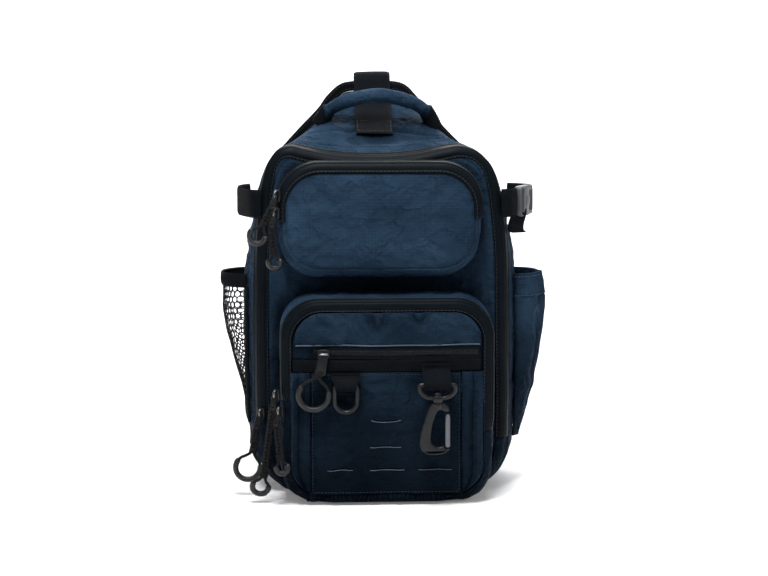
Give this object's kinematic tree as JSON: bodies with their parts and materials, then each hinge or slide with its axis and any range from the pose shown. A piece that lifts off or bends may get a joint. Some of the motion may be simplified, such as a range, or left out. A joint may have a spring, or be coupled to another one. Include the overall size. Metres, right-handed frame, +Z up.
{
  "type": "fishing tackle sling bag",
  "caption": "Upright cloth sling bag for fishing tackle with a sloping top, zipped front pockets, a mesh side pocket, a carry handle, a ring and a swivel snap hook.",
  "frame": {"origin": "bottom centre of the bag's box, on the surface it stands on", "axes": "+Z up along the height, -Y towards the front with the pockets, +X to the right seen from the front"},
  "size_m": [0.2934, 0.181, 0.3741],
  "materials": {
    "navy_cloth": "close ripstop weave of dark navy polyester with a soft coated sheen",
    "zip_band": "matte rubber-coated zip tape and piping, nearly black",
    "black_binding": "black grosgrain binding",
    "black_webbing": "ribbed black polyester webbing",
    "black_mesh": "open knitted black mesh with large holes",
    "spacer_mesh": "padded black air mesh",
    "black_plastic": "moulded black acetal, satin",
    "zip_metal": "black painted zinc zip sliders",
    "pull_rubber": "black cord with a moulded rubber grip",
    "steel": "bright steel gate"
  },
  "bodies": {
    "bag": {"top_panel": "navy_cloth", "gusset_right": "navy_cloth", "base_panel": "navy_cloth", "gusset_left": "navy_cloth", "base_welt": "navy_cloth", "front_panel": "navy_cloth", "upper_pocket_shell": "navy_cloth", "lower_pocket_shell": "navy_cloth", "pocket_flap": "navy_cloth", "molle_panel": "navy_cloth", "pleat_left": "navy_cloth", "pleat_right": "navy_cloth", "right_pocket": "navy_cloth", "handle": "navy_cloth", "main_zip_band": "zip_band", "upper_zip_band": "zip_band", "lower_zip_band": "zip_band", "slip_zipper": "zip_band", "rim_binding": "black_binding", "mesh_pocket_binding": "black_binding", "handle_end_left": "black_binding", "handle_end_right": "black_binding", "webbing_strip": "black_webbing", "top_webbing": "black_webbing", "strap_left": "black_webbing", "strap_right_front": "black_webbing", "strap_right_rear": "black_webbing", "strap_right_tail": "black_webbing", "ring_tab": "black_webbing", "hook_tab": "black_webbing", "sling_web": "black_webbing", "mesh_pocket": "black_mesh", "back_panel": "spacer_mesh", "sling_pad": "spacer_mesh", "buckle_right": "black_plastic", "sling_adjuster": "black_plastic", "slider_slip": "zip_metal", "slider_upper_a": "zip_metal", "slider_upper_b": "zip_metal", "slider_main": "zip_metal", "slider_lower_a": "zip_metal", "slider_lower_b": "zip_metal", "pull_slip": "pull_rubber", "pull_upper_a": "pull_rubber", "pull_upper_b": "pull_rubber", "pull_main": "pull_rubber", "pull_lower_a": "pull_rubber", "pull_lower_b": "pull_rubber"},
    "ring": {"d_ring": "black_plastic"},
    "hook_base": {"hook_loop": "black_plastic"},
    "hook": {"hook_body": "black_plastic"},
    "gate": {"hook_gate": "steel"}
  },
  "joints": [
    {"name": "ring_swing", "type": "hinge", "parent": "bag", "child": "ring", "pos_m": [-0.0378, -0.0771, 0.106], "axis": [1, 0, 0], "range_deg": [-120, 8]},
    {"name": "hook_swing", "type": "hinge", "parent": "bag", "child": "hook_base", "pos_m": [0.0402, -0.0856, 0.108], "axis": [1, 0, 0], "range_deg": [-120, 0]},
    {"name": "hook_swivel", "type": "hinge", "parent": "hook_base", "child": "hook", "pos_m": [0.0402, -0.0856, 0.0955], "axis": [0, 0, 1], "continuous": true},
    {"name": "gate_lever", "type": "hinge", "parent": "hook", "child": "gate", "pos_m": [0.049, -0.0856, 0.0558], "axis": [0, 1, 0], "range_deg": [-18, 0], "stiffness_Nm_per_rad": 0.05}
  ]
}
